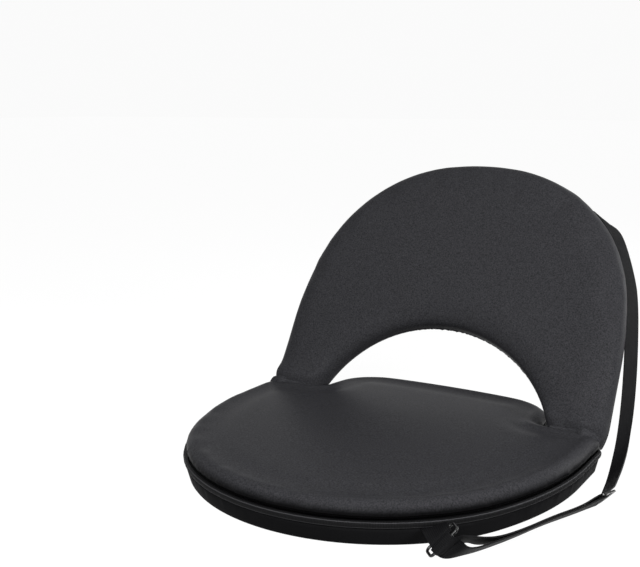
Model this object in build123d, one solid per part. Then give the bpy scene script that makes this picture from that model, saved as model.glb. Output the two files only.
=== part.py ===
from build123d import *
import math
import os

# Folding stadium seat: a padded seat and an arched back rest on two ratchet hinges, with a carrying strap.
# Millimetres. X runs to the right seen from the front, the seat faces -Y, Z is up, the floor is Z = 0.
# The origin lies on the floor under the crease between the seat and the back rest.

# Seat cushion
seat_width = 503.0
seat_front = 368.0          # front edge, ahead of the crease
seat_side_end = 70.0        # the straight sides end this far ahead of the crease
seat_side_radius = 380.0    # the side's arc towards the front
shoulder_gap = 3.0          # the shoulders stop this far ahead of the crease
shoulder_radius = 14.0      # outer corner of a shoulder
notch_radius = 8.0          # inner corner between a shoulder and the rear tongue
tongue_width = 334.0
tongue_depth = 116.0
tongue_corner = 62.0
tongue_taper = 12.0
tongue_bow = 12.0
seat_rim = 40.7             # height where the top's rounding ends
seat_seam = 27.0            # height of the side seam
seat_crown = 11.0
seat_rounding = 12.5        # rounding along the top edge
seat_base_inset = 6.0       # the lower side draws in by this much at the floor

# Back rest cushion
back_width = 494.0
back_height = 363.0         # above the hinge axis
back_thickness = 42.0
back_side_end = 86.0        # the straight sides end this far above the hinge axis
back_side_radius = 500.0
back_corner_radius = 220.0
back_top_radius = 380.0
back_leg_end = 12.0         # the legs end this far below the hinge axis
back_crown = 2.0
back_rounding = 18.0        # rounding along the front edge
back_rear_rounding = 9.0
back_seam = 29.0            # depth of the side seam behind the front face
arch_radius = 191.0
arch_apex = 110.0           # above the hinge axis
arch_rounding = 20.0

# Fabric
cover_wall = 1.0
foam_clearance = 0.4
binding_height = 7.0
binding_proud = 2.0
binding_flange = 1.0
binding_clearance = 0.3
gusset_wall = 1.0
gusset_clearance = 1.2

# Hinges
recline = 30.0              # lean of the back rest, from upright
recline_back = 15.0         # how much further it leans back
hinge_y = 8.3
hinge_z = 55.0
hinge_plane = 227.5         # middle of the hinge's toothed arm, from the middle of the seat
arm_wall = 3.0
cheek_wall = 2.0
plate_clearance = 0.1       # between plates that turn past each other
running_clearance = 0.05    # radial, of a pin in its plate
lug_radius = 8.0
arm_radius = 5.5
cheek_radius = 6.0
pivot_radius = 4.0
pivot_head = 6.5
head_height = 1.6
gear_root = 12.0
gear_tip = 15.0
gear_pitch = 15.0           # degrees from notch to notch
notch_count = 6
notch_root_half = 2.4       # half of a notch, degrees, at its root
notch_tip_half = 5.4        # half of a notch, degrees, at the tips
nose_slack = 0.9            # degrees that the pawl's nose is narrower on each side
nose_gap = 0.3
pawl_direction = 80.0       # of the nose, degrees behind the line of the leg
pawl_length = 18.0
pawl_radius = 4.5
pawl_half_width = 2.3
small_pin = 2.4
small_head = 4.2
spring_wall = 0.6
pocket_clearance = 0.8

# Frames
tube_radius = 7.5
tube_wall = 1.2
rod_radius = 4.0
rod_bend = 24.0
frame_height = 20.0         # seat tube's centre above the floor
frame_depth = 20.0          # back tube's centre behind the front face
arch_rod_offset = 41.0      # the arch rod lies this far outside the arch's edge

# Strap
webbing_width = 25.0
webbing_wall = 1.6
tab_width = 29.0
ring_wire = 1.6
ring_inside = (36.0, 12.0)
ring_corner = 4.0
slider_size = (34.0, 22.0)
slider_slot = (27.5, 5.0)
slider_bar = 4.0
slider_wall = 2.0
fold_clearance = 0.4


def box_between(low, high):
    """Box given by its lowest and highest corners."""
    size = [h - l for l, h in zip(low, high)]
    middle = [(h + l) / 2 for l, h in zip(low, high)]
    return Pos(*middle) * Box(*size)


def plate(face, x_low, wall):
    """Plate parallel to the YZ plane, drawn as (y, z) and standing from x_low."""
    return extrude(Plane.YZ.offset(x_low) * face, wall, dir=(1, 0, 0))


def bar(start, end, radius):
    """Flat bar with round ends, drawn between two points."""
    reach = math.dist(start, end)
    turn = math.degrees(math.atan2(end[1] - start[1], end[0] - start[0]))
    middle = ((start[0] + end[0]) / 2, (start[1] + end[1]) / 2)
    body = Pos(*middle) * Rot(0, 0, turn) * Rectangle(reach, 2 * radius)
    return body + Pos(*start) * Circle(radius) + Pos(*end) * Circle(radius)


def pin(x_low, x_high, radius, head, place):
    """Rivet along X with a low domed head at each end, at (y, z)."""
    profile = Polyline(
        (0, x_low - head_height),
        (head * 0.6, x_low - head_height),
        (head, x_low - head_height * 0.4),
        (head, x_low),
        (radius, x_low),
        (radius, x_high),
        (head, x_high),
        (head, x_high + head_height * 0.4),
        (head * 0.6, x_high + head_height),
        (0, x_high + head_height),
        close=True,
    )
    body = revolve(make_face(profile), Axis.Y)
    return Pos(0, *place) * Rot(0, 0, -90) * body


def drilling(x_low, x_high, radius, place):
    """Round hole along X, at (y, z)."""
    return plate(Pos(*place) * Circle(radius), x_low, x_high - x_low)


def left_of(shape):
    """Mirror image of a right-hand piece."""
    return mirror(shape, about=Plane.YZ)


def crown_ball(half, crown, top):
    """Large ball whose cap, over a half width, rises by the crown up to a top height."""
    radius = (half**2 + crown**2) / (2 * crown)
    return radius, top - radius


# Seat cushion: drawn-in sides below the seam, a rounded edge and a crown above it
seat_half = seat_width / 2
seat_middle = -130.0


def seat_arcs(inset):
    """Front of the seat's plan, from left to right: a side arc, the nose arc and a side arc."""
    radius = seat_side_radius - inset
    half = seat_half - inset
    depth = seat_front - inset - seat_side_end
    nose_radius = (2 * half * radius - half**2 - depth**2) / (2 * radius - 2 * depth)
    side_centre = (half - radius, -seat_side_end)
    nose_centre = (0, nose_radius - depth - seat_side_end)
    turn = math.degrees(math.atan2(nose_centre[1] - side_centre[1], -side_centre[0]))
    return [
        CenterArc((-side_centre[0], side_centre[1]), radius, 180, -turn),
        CenterArc(nose_centre, nose_radius, 180 - turn, 180 + 2 * turn),
        CenterArc(side_centre, radius, turn, -turn),
    ]


def seat_plan(inset):
    """Plan of the seat at its side seam, drawn in by an inset."""
    root = tongue_width / 2
    end = root - tongue_taper
    tail = tongue_depth - shoulder_gap
    rear = Polyline(
        (seat_half, -seat_side_end),
        (seat_half, -shoulder_gap),
        (root, -shoulder_gap),
        (end, tail - tongue_bow),
    )
    tail_arc = ThreePointArc((end, tail - tongue_bow), (0, tail), (-end, tail - tongue_bow))
    edges = seat_arcs(0) + list(rear.edges()) + [tail_arc] + list(mirror(rear, about=Plane.YZ).edges())
    plan = make_face(edges)
    corners = (
        (seat_half, -shoulder_gap, shoulder_radius),
        (root, -shoulder_gap, notch_radius),
        (end, tail - tongue_bow, tongue_corner),
    )
    for x, y, radius in corners:
        for side in (1, -1):
            corner = plan.vertices().sort_by_distance((side * x, y, 0))[0]
            plan = fillet(corner, radius)
    return offset(plan, -inset) if inset else plan


def seat_cushion(inset, slack=0.0):
    """Closed cushion, drawn in from the outer surface, and by a little more at the sides and the top."""
    depth = inset + slack
    draft = math.degrees(math.atan(seat_base_inset / seat_seam))
    plan = Pos(0, 0, seat_seam) * seat_plan(depth)
    lower = extrude(plan, seat_seam - inset, dir=(0, 0, -1), taper=draft)
    radius, centre = crown_ball(seat_half, seat_crown, seat_rim + seat_crown)
    upper = extrude(plan, seat_rim, dir=(0, 0, 1)) & (Pos(0, seat_middle, centre) * Sphere(radius - depth))
    upper = fillet(upper.faces().sort_by(Axis.Z)[-1].edges(), seat_rounding - depth)
    return lower + upper


# Back rest cushion, drawn upright with the hinge axis at the origin, its front face on Y = 0 and its depth along +Y
back_half = back_width / 2
back_middle = 180.0
back_skirt = 45.0


def back_arcs(inset):
    """Dome of the back rest's outline, from right to left, as (x, z)."""
    side_radius = back_side_radius - inset
    corner_radius = back_corner_radius - inset
    top_radius = back_top_radius - inset
    side_centre = (back_half - back_side_radius, back_side_end)
    top_centre = (0, back_height - back_top_radius)
    to_side = back_side_radius - back_corner_radius
    to_top = back_top_radius - back_corner_radius
    gap = math.dist(side_centre, top_centre)
    along = (to_side**2 - to_top**2 + gap**2) / (2 * gap)
    off = math.sqrt(to_side**2 - along**2)
    ux, uy = (top_centre[0] - side_centre[0]) / gap, (top_centre[1] - side_centre[1]) / gap
    corner = (side_centre[0] + along * ux - off * uy, side_centre[1] + along * uy + off * ux)
    low = math.degrees(math.atan2(corner[1] - side_centre[1], corner[0] - side_centre[0]))
    high = math.degrees(math.atan2(corner[1] - top_centre[1], corner[0] - top_centre[0]))
    return [
        CenterArc(side_centre, side_radius, 0, low),
        CenterArc(corner, corner_radius, low, high - low),
        CenterArc(top_centre, top_radius, high, 180 - 2 * high),
        CenterArc((-corner[0], corner[1]), corner_radius, 180 - high, high - low),
        CenterArc((-side_centre[0], side_centre[1]), side_radius, 180 - low, low),
    ]


def back_plan(inset):
    """Outline of the back rest without its arch, drawn in by an inset, as (x, z)."""
    half = back_half - inset
    skirt = Polyline((-half, back_side_end), (-half, -back_skirt), (half, -back_skirt), (half, back_side_end))
    return make_face(back_arcs(inset) + list(skirt.edges()))


def arch_cutter(inset):
    """Round tunnel that leaves the arch, flared towards both faces."""
    rounding = arch_rounding - inset
    wide = arch_radius + arch_rounding
    narrow = arch_radius + inset
    front = inset
    rear = back_thickness - inset
    diagonal = rounding * math.sqrt(0.5)
    edges = [
        Polyline((wide, front), (wide, front - 9), (0, front - 9), (0, rear + 9), (wide, rear + 9), (wide, rear)),
        ThreePointArc((wide, front), (wide - diagonal, front + rounding - diagonal), (narrow, front + rounding)),
        Line((narrow, front + rounding), (narrow, rear - rounding)),
        ThreePointArc((narrow, rear - rounding), (wide - diagonal, rear - rounding + diagonal), (wide, rear)),
    ]
    return Pos(0, 0, arch_apex - arch_radius) * revolve(make_face(edges), Axis.Y)


def back_cushion(inset, slack=0.0):
    """Closed back cushion with its arch and its two legs, drawn in from the outer surface."""
    depth = inset + slack
    level = Plane(origin=(0, back_thickness - inset, 0), x_dir=(1, 0, 0), z_dir=(0, -1, 0))
    radius, centre = crown_ball(back_half, back_crown, back_crown)
    body = extrude(level * back_plan(depth), back_thickness + back_crown, dir=(0, -1, 0))
    body &= Pos(0, -centre, back_middle) * Sphere(radius - depth)
    body = fillet(body.faces().sort_by(Axis.Y)[0].edges(), back_rounding - depth)
    body = fillet(body.faces().sort_by(Axis.Y)[-1].edges(), back_rear_rounding - inset)
    below = box_between((-300, -40, -200), (300, 80, -back_leg_end + depth))
    return body - arch_cutter(depth) - below


# Hinges, drawn on the right. Places on the back rest are (depth, height) from the hinge axis.
arm_low = hinge_plane - arm_wall / 2
arm_high = hinge_plane + arm_wall / 2
inner_low = arm_low - plate_clearance - cheek_wall
outer_low = arm_high + plate_clearance
outer_high = outer_low + cheek_wall
axis_place = (hinge_y, hinge_z)
arm_knee = (-8.0, 36.0)
arm_end = (-72.0, frame_height)
seat_rivet_places = [(-46.0, frame_height + 1), (-67.0, frame_height)]
back_rivet_places = [(frame_depth - 1, 52.0), (frame_depth, 68.0)]
cheek_root = (6.0, 4.0)
cheek_knee = (14.0, 25.0)
cheek_end = (frame_depth, 72.0)
spacer_place = (13.0, 29.0)
spacer_radius = 2.5


def polar(radius, turn):
    """Point on the back rest at a radius from the axis, turned from the leg's line to the rear."""
    return (radius * math.sin(math.radians(turn)), radius * math.cos(math.radians(turn)))


def ray(radius, turn):
    """Point beside the hinge axis, turned up from the rear horizontal."""
    return (hinge_y + radius * math.cos(math.radians(turn)), hinge_z + radius * math.sin(math.radians(turn)))


nose = polar(gear_tip - 1.5, pawl_direction)
pawl_pivot = (
    nose[0] - pawl_length * math.cos(math.radians(pawl_direction)),
    nose[1] + pawl_length * math.sin(math.radians(pawl_direction)),
)


def gear_face():
    """Toothed sector of the seat arm: notches a pitch apart, with a tooth on each side of them."""
    first = 90 - recline - pawl_direction - recline_back
    points = []
    for number in range(notch_count):
        middle = first + number * gear_pitch
        points.append(ray(gear_tip, middle - notch_tip_half))
        points.append(ray(gear_root, middle - notch_root_half))
        points.append(ray(gear_root, middle + notch_root_half))
        points.append(ray(gear_tip, middle + notch_tip_half))
    last = first + (notch_count - 1) * gear_pitch
    points.append(ray(gear_tip, last + gear_pitch / 2))
    points.append(axis_place)
    points.append(ray(gear_tip, first - gear_pitch / 2))
    return make_face(Polyline(*points, close=True))


def arm_outline(grow):
    """Seat arm below its toothed sector, from the hinge axis to the seat's tube."""
    return bar(axis_place, arm_knee, arm_radius + grow) + bar(arm_knee, arm_end, arm_radius + grow)


def seat_arm():
    face = Pos(*axis_place) * Circle(lug_radius) + gear_face() + arm_outline(0)
    body = plate(face, arm_low, arm_wall)
    body -= drilling(arm_low - 1, arm_high + 1, pivot_radius + running_clearance, axis_place)
    for place in seat_rivet_places:
        body -= drilling(arm_low - 1, arm_high + 1, small_pin + running_clearance, place)
    return body


def cheek(x_low, reach):
    """Cheek plate on the back rest, from the pivot past the pawl, and on to the tube where it reaches that far."""
    face = Circle(lug_radius) + bar((1.0, 0.7), cheek_root, cheek_radius) + bar(cheek_root, cheek_knee, cheek_radius)
    if reach:
        face += bar(cheek_knee, cheek_end, cheek_radius)
    body = plate(face, x_low, cheek_wall)
    holes = [((0, 0), pivot_radius), (pawl_pivot, small_pin), (spacer_place, small_pin)]
    if reach:
        holes += [(place, small_pin) for place in back_rivet_places]
    for place, radius in holes:
        body -= drilling(x_low - 1, x_low + cheek_wall + 1, radius + running_clearance, place)
    return body


def pawl():
    """Pawl with a wedge nose that drops into a notch of the seat arm."""
    low, high = gear_root + nose_gap, gear_tip
    narrow, broad = notch_root_half - nose_slack, notch_tip_half - nose_slack
    crown = polar(gear_tip + 3, pawl_direction)
    wedge = Polyline(
        polar(low, pawl_direction - narrow),
        polar(low, pawl_direction + narrow),
        polar(high, pawl_direction + broad),
        polar(high + 3, pawl_direction + broad),
        polar(high + 3, pawl_direction - broad),
        polar(high, pawl_direction - broad),
        close=True,
    )
    face = Pos(*pawl_pivot) * Circle(pawl_radius) + bar(pawl_pivot, crown, pawl_half_width) + make_face(wedge)
    body = plate(face, arm_low + plate_clearance, arm_wall - 2 * plate_clearance)
    return body - drilling(arm_low - 1, arm_high + 1, small_pin + running_clearance, pawl_pivot)


def pawl_spring():
    """Leaf spring: an eye round the spacer and a leaf that bears on the back of the pawl."""
    eye_radius = spacer_radius + running_clearance + spring_wall
    start = (spacer_place[0] + eye_radius - spring_wall / 2, spacer_place[1])
    end = (pawl_pivot[0] + 7.2, pawl_pivot[1] - 8.5)
    face = Pos(*spacer_place) * Circle(eye_radius) + bar(start, end, spring_wall / 2)
    face -= Pos(*spacer_place) * Circle(spacer_radius + running_clearance)
    return plate(face, arm_low + 2 * plate_clearance, arm_wall - 4 * plate_clearance)


def spacer():
    """Shouldered rivet that holds the cheek plates apart."""
    body = pin(inner_low, outer_high, small_pin, small_head, spacer_place)
    collar = drilling(arm_low - plate_clearance, arm_high + plate_clearance, spacer_radius, spacer_place)
    return body + collar


def gusset():
    """Fabric fold over the hinge at the crease, from the front of the leg down to the seat."""
    inner = lug_radius + gusset_clearance
    outer = inner + gusset_wall
    top, low = 74.0, 186.0
    foot = (-11.5, 42.4)
    edges = [
        CenterArc(axis_place, inner, top, low - top),
        Polyline(ray(inner, low), foot, (foot[0] - gusset_wall * 1.2, foot[1] + 0.4), ray(outer, low)),
        CenterArc(axis_place, outer, top, low - top),
        Line(ray(inner, top), ray(outer, top)),
    ]
    half = outer_high + head_height - hinge_plane
    return plate(make_face(edges), hinge_plane - half, 2 * half)


def back_pocket():
    """Room for the hinge inside the leg, open at the leg's end and at the crease."""
    low = inner_low - head_height - pocket_clearance
    high = outer_high + head_height + pocket_clearance
    inside = box_between((low, 2.2, -back_leg_end - 1), (high, 26, cheek_end[1] + cheek_radius + 1))
    mouth = box_between((low, -4, -back_leg_end - 1), (high, 20, gear_tip + 1))
    return inside + mouth


def rivet_room(place, low, high):
    """Room in the foam for a rivet and its heads."""
    return drilling(low - head_height - 0.5, high + head_height + 0.5, small_head + 0.5, place)


# Frames
seat_tube_x = arm_low - tube_radius
back_tube_x = inner_low - tube_radius


def tube_along(path, radius):
    """Round bar of a radius along a path of lines and arcs."""
    start = Plane(origin=path @ 0, z_dir=path % 0)
    return sweep(start * Circle(radius), path)


def seat_hoop_path():
    arcs = seat_arcs(seat_half - seat_tube_x)
    left = Line((-seat_tube_x, -18), (-seat_tube_x, -seat_side_end))
    right = Line((seat_tube_x, -seat_side_end), (seat_tube_x, -18))
    return Pos(0, 0, frame_height) * Wire([left] + arcs + [right])


def back_hoop_path():
    arcs = back_arcs(back_half - back_tube_x)
    end = spacer_place[1] + small_head + 3
    right = Line((back_tube_x, end), (back_tube_x, back_side_end))
    left = Line((-back_tube_x, back_side_end), (-back_tube_x, end))
    level = Plane(origin=(0, frame_depth, 0), x_dir=(1, 0, 0), z_dir=(0, -1, 0))
    return level * Wire([right] + arcs + [left])


def tongue_rod():
    """Rod across the rear tongue, welded to the hoop at both ends."""
    root = tongue_width / 2 - 34
    tail = tongue_depth - 40
    weld = (seat_rivet_places[0][0] + seat_rivet_places[1][0]) / 2
    right = [(root - 10, tail), (root + 8, weld), (seat_tube_x, weld)]
    left = [(-x, y) for x, y in reversed(right)]
    path = FilletPolyline(*left, *right, radius=rod_bend)
    return tube_along(Pos(0, 0, frame_height) * path, rod_radius)


def arch_rod():
    """Rod along the arch, welded to the back hoop at both ends."""
    radius = arch_radius + arch_rod_offset
    centre = arch_apex - arch_radius
    reach = math.degrees(math.acos(back_tube_x / radius)) - 1.0
    level = Plane(origin=(0, frame_depth, 0), x_dir=(1, 0, 0), z_dir=(0, -1, 0))
    return tube_along(level * CenterArc((0, centre), radius, reach, 180 - 2 * reach), rod_radius)


# Strap: stations along the webbing, each a place and the direction of the webbing's width
slider_middle = Vector(285.0, -118.0, 13.6)
ring_middle = Vector(181.0, -317.0, 17.0)
ring_along = Vector(0.51, 0.49, 0.707).normalized()
ring_out = Vector(0.69, -0.72, 0.0).normalized()
run_width = Vector(0.62, -0.33, 0.71)
anchor = [
    ((118.0, 0.2, 267.0), (0.63, -0.777)),
    ((146.0, 0.3, 290.5), (0.66, -0.75)),
    ((169.0, 2.4, 309.0), (0.70, -0.71)),
]
hanging = [
    ((191.0, 205.0, 283.5), (0.55, 0.70, -0.40)),
    ((205.0, 199.0, 260.5), (0.35, 0.92, 0.0)),
    ((222.5, 182.0, 224.0), (0.20, 0.98, 0.0)),
    ((236.0, 164.0, 189.0), (0.16, 0.98, 0.0)),
    ((254.0, 105.0, 120.5), (0.18, 0.98, 0.1)),
    ((266.0, 52.0, 64.0), (0.26, 0.93, 0.2)),
    ((274.0, 0.0, 31.0), (0.40, 0.80, 0.4)),
    ((280.0, -45.0, 18.0), (0.55, 0.40, 0.65)),
    ((284.0, -84.0, 13.0), (0.62, 0.0, 0.71)),
]
lower_run = [(266.0, -158.0, 12.6), (247.0, -198.0, 12.6), (232.0, -246.0, 12.8), (218.0, -291.0, 14.2)]
loop_middle = Vector(204.5, -315.0, 18.4)
run_ahead = (slider_middle - Vector(lower_run[0])).normalized()
run_across = (run_width - run_ahead * run_width.dot(run_ahead)).normalized()
run_normal = run_across.cross(run_ahead)
run_lie = slider_wall / 2 + webbing_wall / 2 + fold_clearance


def smooth(rows, share):
    """Point between the two middle ones of four, on a curve that runs evenly through them."""
    before, start, end, after = rows
    slope_in = (end - before) * 0.5
    slope_out = (after - start) * 0.5
    bend = (start - end) * 2 + slope_in + slope_out
    return start + slope_in * share + (end - start - slope_in) * share**2 + bend * (share**3 - share**2)


def ribbon(stations, width, wall, steps=4):
    """Flat webbing through its stations, each a place and the direction of the width."""
    line = []
    last = len(stations) - 1
    for number in range(last):
        picks = [stations[min(max(number + step, 0), last)] for step in (-1, 0, 1, 2)]
        for step in range(steps):
            line.append(tuple(smooth([Vector(pick[part]) for pick in picks], step / steps) for part in (0, 1)))
    line.append((Vector(stations[last][0]), Vector(stations[last][1])))
    faces = []
    for number, (place, across) in enumerate(line):
        ahead = (line[min(number + 1, len(line) - 1)][0] - line[max(number - 1, 0)][0]).normalized()
        across = (across - ahead * across.dot(ahead)).normalized()
        faces.append(Plane(origin=place, x_dir=across, z_dir=ahead) * Rectangle(width, wall))
    body = loft(faces, ruled=True)
    return body if body.volume > 0 else loft(list(reversed(faces)), ruled=True)


def on_back(x, depth, height):
    """Point of the back rest, where it stands in the room."""
    lean = math.radians(recline)
    y = hinge_y + height * math.sin(lean) + depth * math.cos(lean)
    z = hinge_z + height * math.cos(lean) - depth * math.sin(lean)
    return Vector(x, y, z)


def upper_strap():
    """Webbing from its seam on the rear of the back rest down to the slider."""
    stations = []
    for (x, lift, height), (wide_x, wide_height) in anchor:
        across = on_back(wide_x, 0, wide_height) - on_back(0, 0, 0)
        stations.append((on_back(x, back_thickness + webbing_wall / 2 + lift, height), across))
    stations += [(Vector(place), Vector(across)) for place, across in hanging]
    stations.append((slider_middle + run_ahead * 12 + run_normal * (run_lie + 1), run_across))
    stations.append((slider_middle + run_ahead + run_normal * run_lie, run_across))
    return ribbon(stations, webbing_width, webbing_wall)


def strap_patch():
    """Doubled webbing sewn over the strap's end on the rear cover."""
    (x, lift, height), (wide_x, wide_height) = anchor[0]
    lie = back_thickness + webbing_wall * 1.5 + lift + fold_clearance
    across = on_back(wide_x, 0, wide_height) - on_back(0, 0, 0)
    outward = on_back(0, 1, 0) - on_back(0, 0, 0)
    level = Plane(origin=on_back(x + 5, lie, height + 4), x_dir=across, z_dir=outward)
    face = fillet(Rectangle(webbing_width + 5, 42).vertices(), 3)
    return extrude(level * face, webbing_wall / 2, both=True)


def ring():
    """Rounded rectangular wire ring between the tab and the strap."""
    wide = ring_inside[0] / 2 + ring_wire
    deep = ring_inside[1] / 2 + ring_wire
    level = Plane(origin=ring_middle, x_dir=ring_along, z_dir=ring_along.cross(ring_out))
    path = (level * RectangleRounded(2 * wide, 2 * deep, ring_corner)).wire()
    return tube_along(path, ring_wire)


def fold_place(side):
    """Middle of the ring's bar: 1 for the strap's bar, -1 for the tab's."""
    return ring_middle + ring_out * side * (ring_inside[1] / 2 + ring_wire)


def tab():
    """Webbing tab from the seat's seam, folded round the ring's inner bar."""
    middle = fold_place(-1)
    inner = ring_wire + fold_clearance
    level = Plane(origin=middle, x_dir=ring_out, z_dir=ring_along)
    sleeve = extrude(level * (Circle(inner + webbing_wall) - Circle(inner)), tab_width / 2, both=True)
    lie = inner + webbing_wall / 2
    lift = ring_along.cross(ring_out) * lie
    seam = Vector(166.2, -301.2, seat_seam - 7)
    tangent = Vector(0.718, 0.696, 0.0)
    stations = [(seam, tangent), ((seam + middle + lift) * 0.5, tangent + ring_along), (middle + lift, ring_along)]
    tongue = ribbon(stations, tab_width, webbing_wall)
    return sleeve + tongue


def lower_strap():
    """Doubled webbing from the slider, round the ring's outer bar and back."""
    middle = fold_place(1)
    inner = ring_wire + fold_clearance
    lie = inner + webbing_wall / 2
    leave = (ring_out + ring_along.cross(ring_out) * 0.6).normalized()
    level = Plane(origin=middle, x_dir=leave, z_dir=ring_along)
    half_ring = (Circle(inner + webbing_wall) - Circle(inner)) & (Pos(-20, 0) * Rectangle(40, 40))
    pieces = [extrude(level * half_ring, webbing_width / 2, both=True).solid()]
    for side in (1, -1):
        turn = ring_along.cross(leave) * -side
        aside = run_normal * side
        stations = [(middle + turn * (lie + 0.3), ring_along), (middle + turn * (lie + 0.9) + leave * 7, ring_along)]
        stations.append((loop_middle + (turn + aside).normalized() * 3.5, ring_along + run_across))
        stations += [(Vector(place) + aside * run_lie, run_across) for place in reversed(lower_run)]
        stations += [(slider_middle + run_ahead * along + aside * run_lie, run_across) for along in (-12, -1)]
        pieces.append(ribbon(stations, webbing_width, webbing_wall).solid())
    return Compound(children=pieces)


def slider():
    """Flat wire-edged slider with two slots and a bar between them."""
    face = fillet(Rectangle(*slider_size).vertices(), 4)
    for side in (1, -1):
        slot = fillet(Rectangle(*slider_slot).vertices(), 1.5)
        face -= Pos(0, side * (slider_bar + slider_slot[1]) / 2) * slot
    level = Plane(origin=slider_middle, x_dir=run_across, z_dir=run_normal)
    return extrude(level * face, slider_wall / 2, both=True)


# Seat covers and foam
arm_room = plate(arm_outline(pocket_clearance), arm_low - pocket_clearance, arm_wall + 2 * pocket_clearance)
arm_room += left_of(arm_room)
seat_outer = seat_cushion(0)
seat_inner = seat_cushion(cover_wall)
seat_shell = seat_outer - seat_inner
flange_low = seat_seam - binding_flange / 2
flange_high = seat_seam + binding_flange / 2
above_seam = box_between((-300, -420, flange_high), (300, 200, 90))
below_seam = box_between((-300, -420, -5), (300, 200, flange_low))
seat_top_cover = (seat_shell & above_seam) - arm_room
seat_bottom_cover = seat_shell & below_seam

seat_band = seat_plan(-binding_clearance - binding_proud)
seat_band_inside = seat_plan(-binding_clearance)
seat_flange_inside = seat_plan(cover_wall)
band_low = seat_seam - binding_height / 2
edge_binding = Pos(0, 0, band_low) * extrude(seat_band - seat_band_inside, binding_height, dir=(0, 0, 1))
edge_binding += Pos(0, 0, flange_low) * extrude(seat_band - seat_flange_inside, binding_flange, dir=(0, 0, 1))

seat_hoop_outer = tube_along(seat_hoop_path(), tube_radius)
seat_hoop = seat_hoop_outer - tube_along(seat_hoop_path(), tube_radius - tube_wall)
seat_tongue_rod = tongue_rod() - seat_hoop_outer
seat_rivet_low = seat_tube_x - tube_radius
seat_rivets = []
seat_foam = seat_cushion(cover_wall, foam_clearance) - arm_room
seat_foam -= tube_along(seat_hoop_path(), tube_radius + foam_clearance)
seat_foam -= tongue_rod()
for place in seat_rivet_places:
    rivet = pin(seat_rivet_low, arm_high, small_pin, small_head, place)
    room = rivet_room(place, seat_rivet_low, arm_high)
    hole = drilling(seat_rivet_low - 1, arm_low + 1, small_pin + running_clearance, place)
    for side in (rivet, left_of(rivet)):
        seat_rivets.append(side)
    seat_foam -= room + left_of(room)
    seat_hoop -= hole + left_of(hole)

# Back covers and the two foam sheets that hold the frame between them, upright
hinge_room = back_pocket()
hinge_room += left_of(hinge_room)
back_outer = back_cushion(0)
back_inner = back_cushion(cover_wall)
back_shell = back_outer - back_inner
before_seam = box_between((-300, -30, -100), (300, back_seam, 420))
behind_seam = box_between((-300, back_seam, -100), (300, 90, 420))
back_front_cover = (back_shell & before_seam) - hinge_room
back_rear_cover = back_shell & behind_seam

back_hoop_outer = tube_along(back_hoop_path(), tube_radius)
back_hoop = back_hoop_outer - tube_along(back_hoop_path(), tube_radius - tube_wall)
back_arch_rod = arch_rod() - back_hoop_outer
back_rivet_low = back_tube_x - tube_radius
back_rivets = []
back_block = back_cushion(cover_wall, foam_clearance)
before_frame = box_between((-300, -30, -100), (300, frame_depth, 420))
behind_frame = box_between((-300, frame_depth, -100), (300, 90, 420))
frame_room = tube_along(back_hoop_path(), tube_radius + foam_clearance)
back_front_foam = (back_block & before_frame) - hinge_room - frame_room - arch_rod()
back_rear_foam = (back_block & behind_frame) - hinge_room - frame_room - arch_rod()
for place in back_rivet_places:
    rivet = pin(back_rivet_low, inner_low + cheek_wall, small_pin, small_head, place)
    room = rivet_room(place, back_rivet_low, inner_low + cheek_wall)
    hole = drilling(back_rivet_low - 1, inner_low + 1, small_pin + running_clearance, place)
    for side in (rivet, left_of(rivet)):
        back_rivets.append(side)
    back_front_foam -= room + left_of(room)
    back_rear_foam -= room + left_of(room)
    back_hoop -= hole + left_of(hole)

# Pieces in the room
stand = Pos(0, hinge_y, hinge_z) * Rot(-recline, 0, 0)
on_seat = {
    "seat_top_cover": seat_top_cover,
    "seat_bottom_cover": seat_bottom_cover,
    "edge_binding": edge_binding,
    "seat_foam": seat_foam,
    "seat_frame_hoop": seat_hoop,
    "seat_tongue_rod": seat_tongue_rod,
    "seat_arm_rivets": Compound(seat_rivets),
    "strap_tab": tab(),
    "strap_ring": ring(),
    "strap_lower": lower_strap(),
    "strap_slider": slider(),
    "strap_upper": upper_strap(),
    "strap_patch": strap_patch(),
}
on_back_rest = {
    "back_front_cover": back_front_cover,
    "back_rear_cover": back_rear_cover,
    "back_front_foam": back_front_foam,
    "back_rear_foam": back_rear_foam,
    "back_frame_hoop": back_hoop,
    "back_arch_rod": back_arch_rod,
    "back_arm_rivets": Compound(back_rivets),
}
hinge_on_seat = {
    "hinge_seat_arm": seat_arm(),
    "hinge_gusset": gusset(),
}
hinge_on_back = {
    "hinge_inner_cheek": cheek(inner_low, True),
    "hinge_outer_cheek": cheek(outer_low, False),
    "hinge_pivot_rivet": pin(inner_low, outer_high, pivot_radius, pivot_head, (0, 0)),
    "hinge_pawl": pawl(),
    "hinge_pawl_pin": pin(inner_low, outer_high, small_pin, small_head, pawl_pivot),
    "hinge_pawl_spring": pawl_spring(),
    "hinge_spacer": spacer(),
}
pieces = dict(on_seat)
for name, shape in on_back_rest.items():
    pieces[name] = stand * shape
for name, shape in hinge_on_seat.items():
    pieces["right_" + name] = shape
    pieces["left_" + name] = left_of(shape)
for name, shape in hinge_on_back.items():
    pieces["right_" + name] = stand * shape
    pieces["left_" + name] = stand * left_of(shape)

os.makedirs("parts", exist_ok=True)
for name, shape in pieces.items():
    export_step(shape, "parts/" + name + ".step")
    print(name, len(shape.solids()), round(shape.volume / 1000, 2))
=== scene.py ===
import math

import bpy
from mathutils import Matrix, Vector
from mathutils.kdtree import KDTree


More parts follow.
